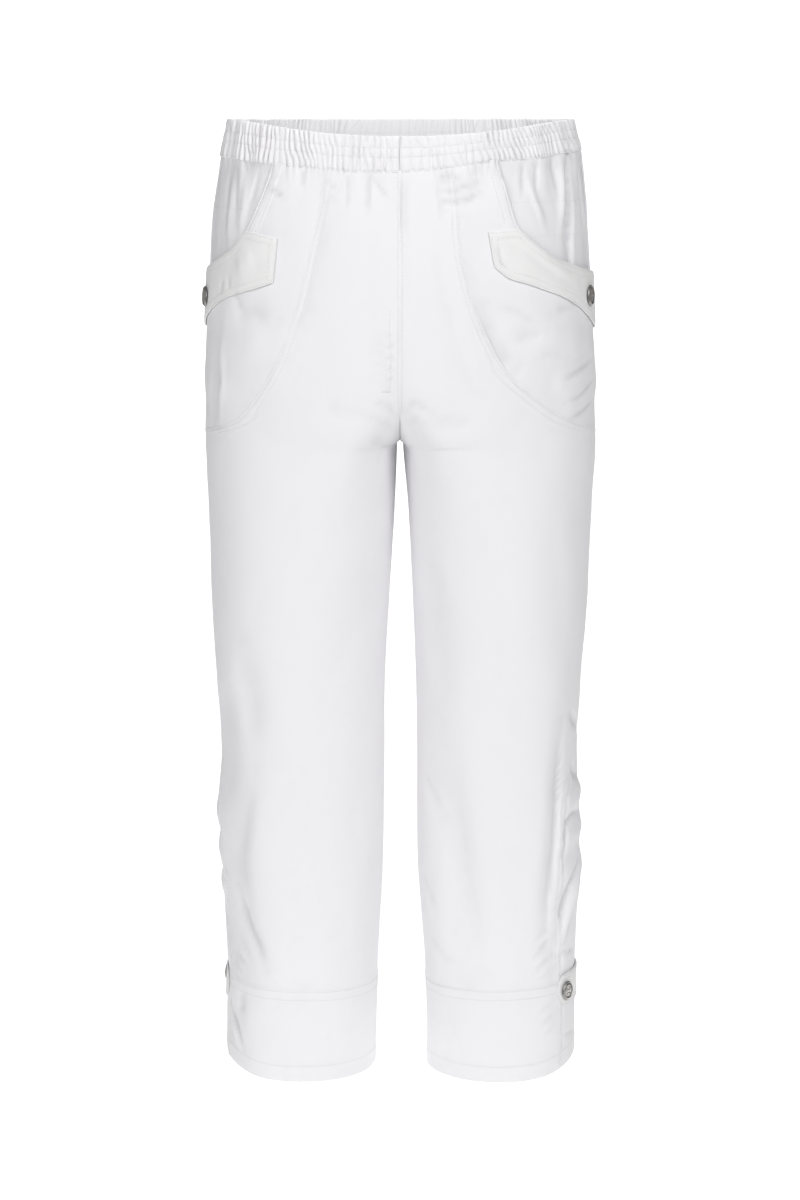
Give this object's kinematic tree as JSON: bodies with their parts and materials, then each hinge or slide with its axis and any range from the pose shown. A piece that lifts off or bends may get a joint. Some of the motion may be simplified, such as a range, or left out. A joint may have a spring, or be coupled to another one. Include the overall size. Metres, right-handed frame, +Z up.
{
  "type": "capri pants",
  "caption": "Pull-on capri pants in white cotton sateen with a gathered elastic waist, curved front pockets with buttoned flaps, straight legs and stitched cuffs with side tabs.",
  "frame": {"origin": "middle of the waist opening at the height of the waistband's upper edge at the sides and back, where the wearer's waist holds the garment", "axes": "+Z up out of the waist opening, -Y the way the garment faces, +X to the wearer's left"},
  "size_m": [0.3569, 0.2449, 0.8813],
  "materials": {
    "sateen": "white cotton sateen, soft low sheen",
    "gathered_waistband": "white cotton sateen gathered over elastic",
    "strap_cloth": "white cotton sateen, two layers, topstitched edges",
    "cuff_cloth": "white cotton sateen, two layers, stitched hem",
    "button_metal": "antiqued dark silver with worn bright relief"
  },
  "bodies": {
    "root": {"waistband_left": "gathered_waistband", "waistband_right": "gathered_waistband", "front_left": "sateen", "front_right": "sateen", "back_left": "sateen", "back_right": "sateen", "hip_side_left": "sateen", "hip_side_right": "sateen", "pocket_left": "sateen", "pocket_right": "sateen", "flap_left": "strap_cloth", "flap_right": "strap_cloth", "tab_left": "strap_cloth", "tab_right": "strap_cloth", "cuff_front_left": "cuff_cloth", "cuff_front_right": "cuff_cloth", "cuff_back_left": "cuff_cloth", "cuff_back_right": "cuff_cloth", "flap_button_left": "button_metal", "flap_button_right": "button_metal", "tab_button_left": "button_metal", "tab_button_right": "button_metal"}
  },
  "joints": []
}
